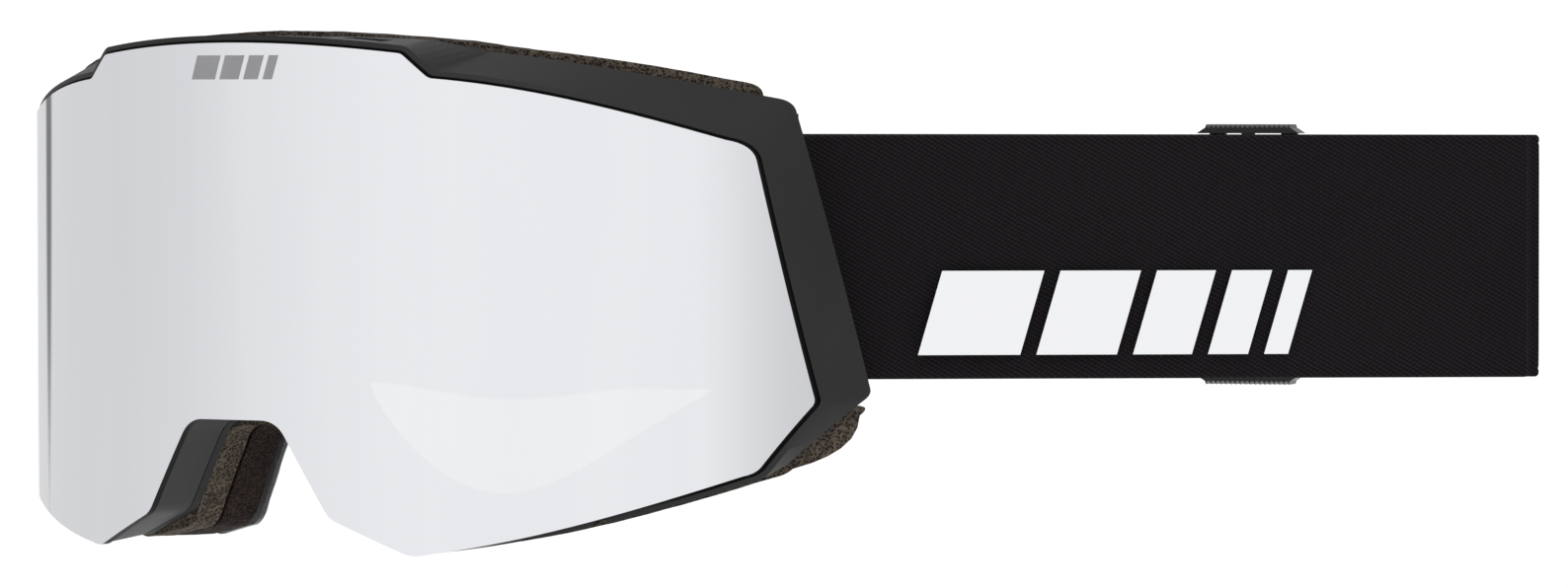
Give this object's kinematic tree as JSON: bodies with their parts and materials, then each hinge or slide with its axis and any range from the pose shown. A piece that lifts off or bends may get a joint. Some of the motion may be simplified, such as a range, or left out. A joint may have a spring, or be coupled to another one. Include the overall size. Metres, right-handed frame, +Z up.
{
  "type": "ski goggles",
  "caption": "Ski goggles with a one-piece cylindrical mirror lens, a sloped black frame, layered face foam and a folded elastic strap with a slide adjuster.",
  "frame": {"origin": "on the face contact surface of the foam, at the middle of the goggles, level with the middle of the lens", "axes": "+Y from the goggles towards the face, +X to the wearer's left, +Z up"},
  "size_m": [0.2776, 0.1598, 0.0954],
  "materials": {
    "mirror_lens": "silver mirror coating on a smooth cylindrical lens",
    "clear_lens": "clear, anti-fog coated",
    "gasket_foam": "closed-cell spacer",
    "frame_plastic": "matte black moulded polyurethane",
    "flange_plastic": "soft black moulded polyurethane",
    "brown_foam": "open-cell reticulated foam",
    "black_foam": "fine-cell foam",
    "fleece": "brushed fleece",
    "steel": "drawn pin",
    "clip_plastic": "moulded acetal",
    "strap_web": "black woven elastic with a diagonal rib",
    "thread": "polyester thread",
    "silicone": "glossy printed silicone beads",
    "chrome_print": "raised foil transfer"
  },
  "bodies": {
    "goggle_frame": {"frame_shell": "frame_plastic", "face_flange": "flange_plastic", "foam_base_layer": "brown_foam", "foam_comfort_layer": "black_foam", "fleece_lining": "fleece", "top_vent_foam": "brown_foam", "bottom_vent_foam_left": "brown_foam", "bottom_vent_foam_right": "brown_foam", "hinge_pin_left": "steel", "hinge_pin_right": "steel", "elastic_strap": "strap_web", "strap_adjusting_tail": "strap_web", "strap_end_stitching": "thread", "silicone_grip_lines": "silicone", "strap_emblem": "chrome_print"},
    "lens": {"outer_lens": "mirror_lens", "lens_spacer_gasket": "gasket_foam", "inner_lens": "clear_lens", "lens_snap_lugs": "frame_plastic"},
    "left_clip": {"strap_bracket_left": "clip_plastic"},
    "right_clip": {"strap_bracket_right": "clip_plastic"},
    "slider": {"strap_slider": "clip_plastic", "tail_end_stitching": "thread"}
  },
  "joints": [
    {"name": "lens_release", "type": "slide", "parent": "goggle_frame", "child": "lens", "axis": [0, -1, 0], "range_m": [0, 0.03]},
    {"name": "left_clip_pivot", "type": "hinge", "parent": "goggle_frame", "child": "left_clip", "pos_m": [0.079, 0.0276, 0], "axis": [0, 0, 1], "range_deg": [-12, 12], "deforming": ["elastic_strap", "strap_end_stitching"]},
    {"name": "right_clip_pivot", "type": "hinge", "parent": "goggle_frame", "child": "right_clip", "pos_m": [-0.079, 0.0276, 0], "axis": [0, 0, 1], "range_deg": [-12, 12], "deforming": ["elastic_strap", "strap_adjusting_tail"]},
    {"name": "slider_travel", "type": "slide", "parent": "goggle_frame", "child": "slider", "axis": [-0.9438, -0.3305, 0], "range_m": [-0.03, 0.06], "deforming": ["strap_adjusting_tail", "tail_end_stitching"]}
  ]
}
